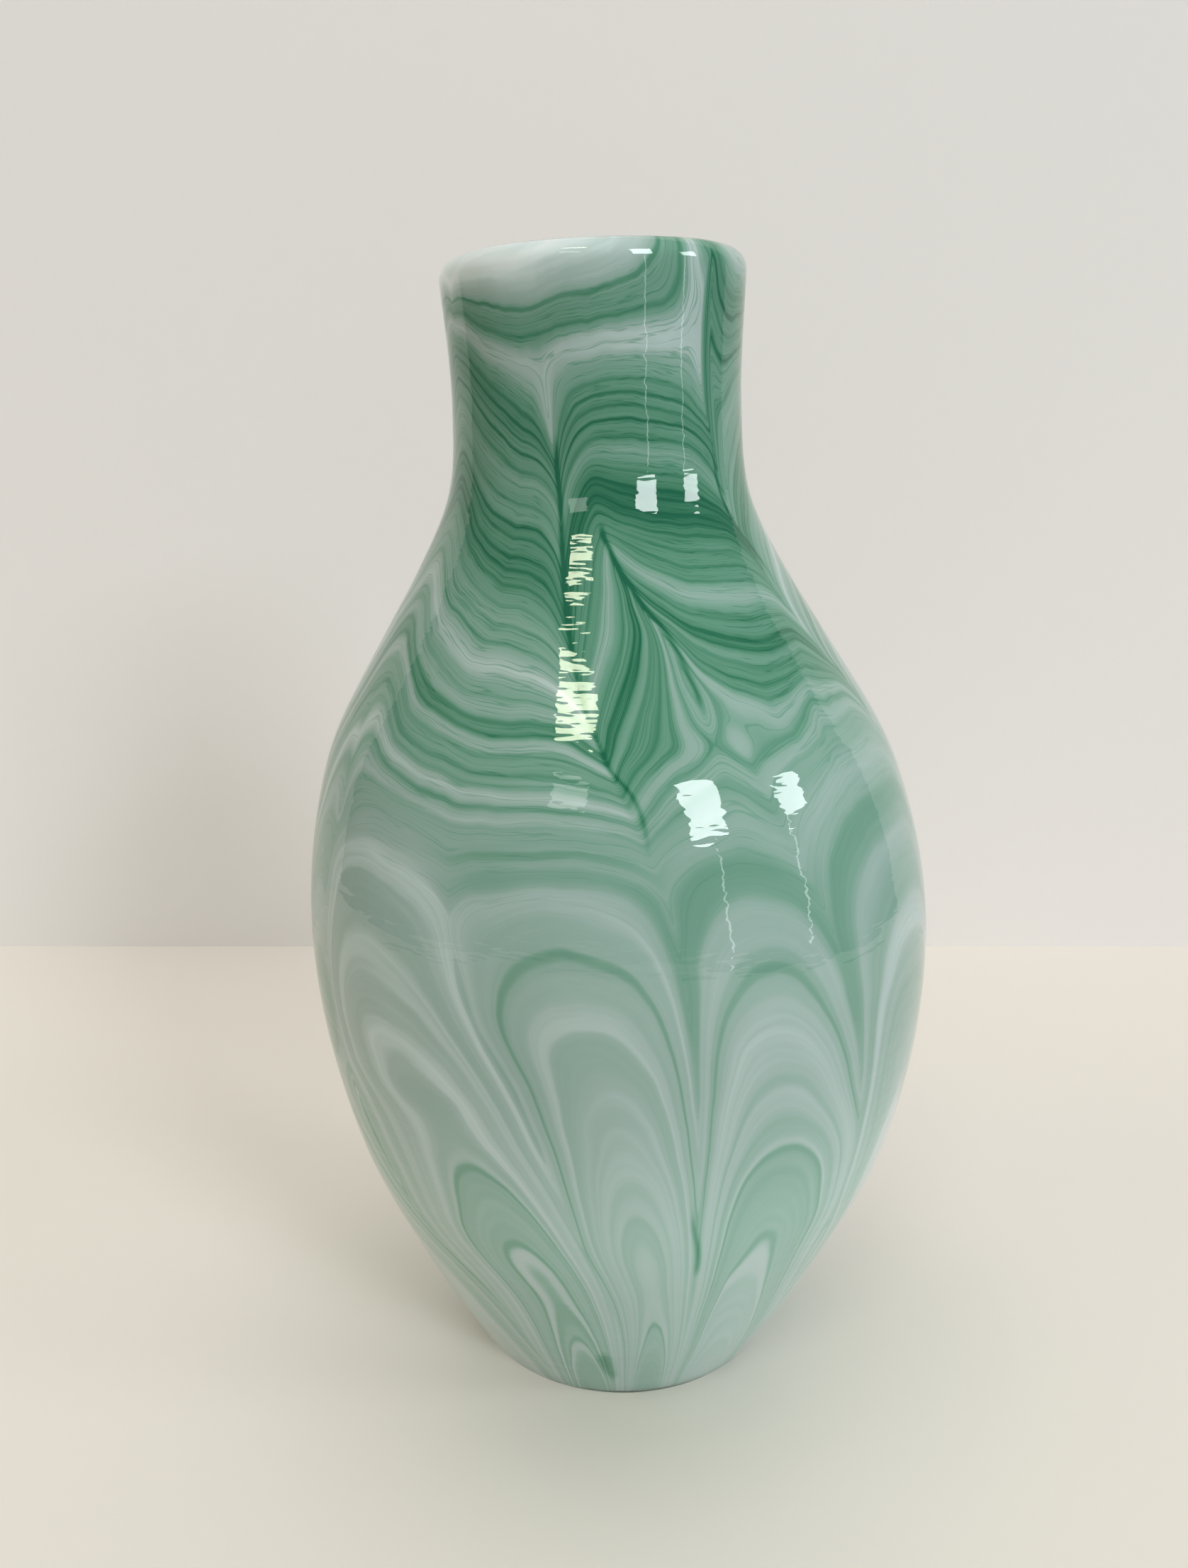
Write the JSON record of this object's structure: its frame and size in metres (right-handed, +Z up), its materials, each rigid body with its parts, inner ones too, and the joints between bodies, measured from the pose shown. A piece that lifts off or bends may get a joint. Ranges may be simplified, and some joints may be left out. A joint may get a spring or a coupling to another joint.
{
  "type": "vase",
  "caption": "Egg-shaped blown glass vase with a straight neck and rounded lip: white opal lining, pulled green and white feather layer, clear glass casing, flat foot.",
  "frame": {"origin": "on the surface the vase stands on, at the middle of its outline seen from above", "axes": "+Z up from the foot to the lip; -Y towards the side shown in the picture; the vase leans a little to -X"},
  "size_m": [0.1421, 0.1418, 0.2511],
  "materials": {
    "opal_glass": "glossy white opal glass",
    "feathered_glass": "glossy, translucent mint, green and white trails combed into feathers and arches",
    "clear_glass": "fire-polished clear glass, ground and polished under the foot"
  },
  "bodies": {
    "root": {"opal_lining": "opal_glass", "feathered_trails": "feathered_glass", "clear_casing": "clear_glass"}
  },
  "joints": []
}
